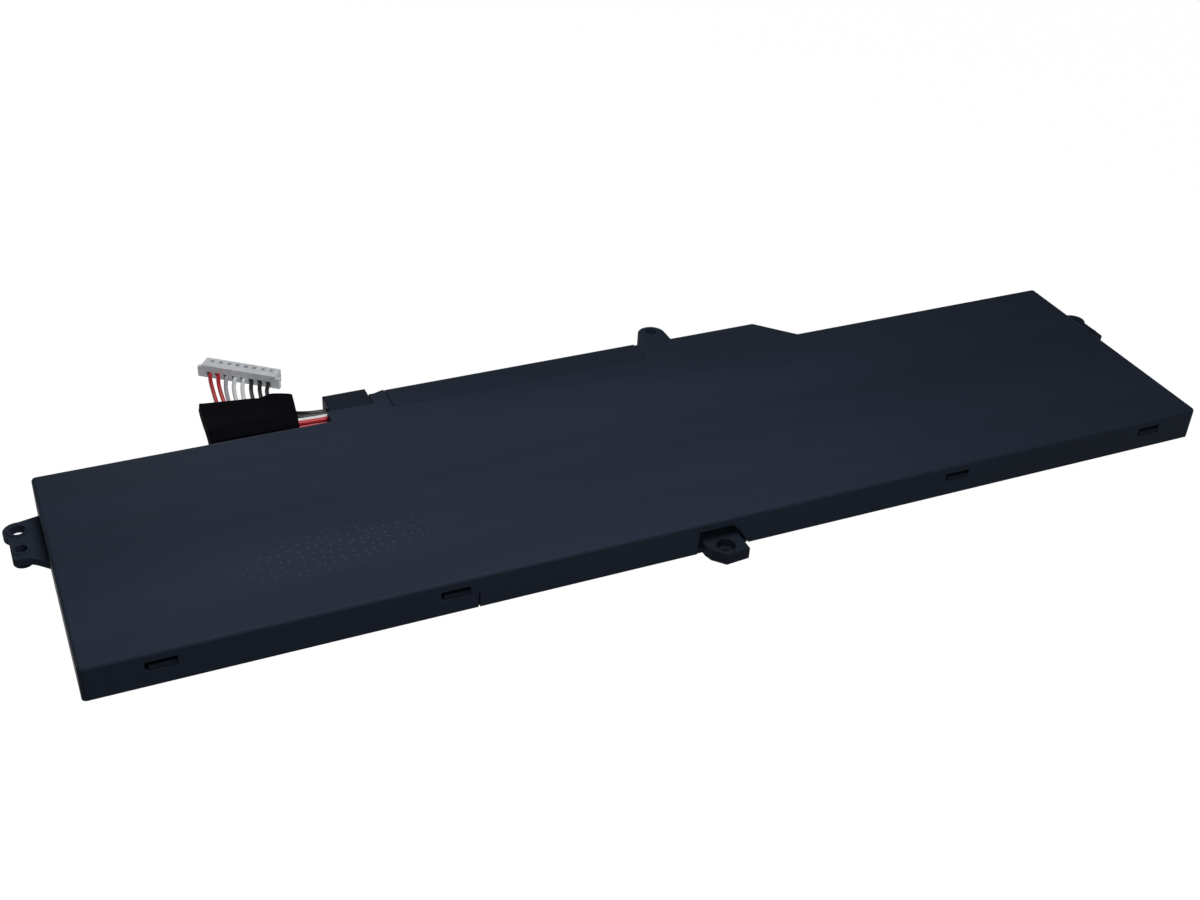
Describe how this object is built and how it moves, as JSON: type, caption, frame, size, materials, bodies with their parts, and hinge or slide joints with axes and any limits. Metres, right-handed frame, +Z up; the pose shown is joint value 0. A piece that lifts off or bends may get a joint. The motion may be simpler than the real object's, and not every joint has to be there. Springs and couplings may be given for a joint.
{
  "type": "laptop battery",
  "caption": "Flat internal laptop battery: long black two-shell case with screw ears and lugs, pouch cells, a protection board and a short wire harness with a white plug.",
  "frame": {"origin": "centre of the case's flat bottom face", "axes": "+X along the case's length, to the right when the bump-out and harness are at the back; +Y to the back, where the bump-out and the harness are; +Z up through the smooth cover"},
  "size_m": [0.2794, 0.1149, 0.008],
  "materials": {
    "case_plastic": "fine satin moulding",
    "pouch_foil": "satin laminate",
    "aluminium_tab": "rolled",
    "nickel": "rolled",
    "film": "polyimide film",
    "adhesive": "adhesive film",
    "foam": "closed-cell foam",
    "board": "solder mask",
    "chip": "moulded epoxy",
    "ceramic_part": "fired",
    "solder": "bright tin",
    "wire_red": "extruded",
    "wire_grey": "extruded",
    "wire_white": "extruded",
    "wire_black": "extruded",
    "nylon": "natural moulded nylon",
    "tin_plate": "tin plated",
    "cloth_tape": "acetate cloth"
  },
  "bodies": {
    "root": {"top_cover": "case_plastic", "bottom_tray": "case_plastic", "board_cover": "case_plastic", "cell_left": "pouch_foil", "cell_middle": "pouch_foil", "cell_right": "pouch_foil", "adhesive_pad_left": "adhesive", "adhesive_pad_middle": "adhesive", "adhesive_pad_right": "adhesive", "foam_pad_left": "foam", "foam_pad_middle": "foam", "foam_pad_right": "foam", "cell_tabs_aluminium": "aluminium_tab", "cell_tabs_nickel": "nickel", "link_pack_negative": "nickel", "link_tap_one": "nickel", "link_tap_two": "nickel", "link_pack_positive": "nickel", "link_insulators": "film", "protection_board": "board", "gauge_chip": "chip", "mosfets": "chip", "chemical_fuse": "chip", "sense_resistor": "chip", "thermistor": "chip", "capacitors": "ceramic_part", "solder_joints": "solder", "wire_red_1": "wire_red", "wire_red_2": "wire_red", "wire_grey": "wire_grey", "wire_white_1": "wire_white", "wire_white_2": "wire_white", "wire_black_1": "wire_black", "wire_black_2": "wire_black", "wire_black_3": "wire_black", "plug_housing": "nylon", "plug_terminals": "tin_plate", "harness_tape": "cloth_tape"}
  },
  "joints": []
}
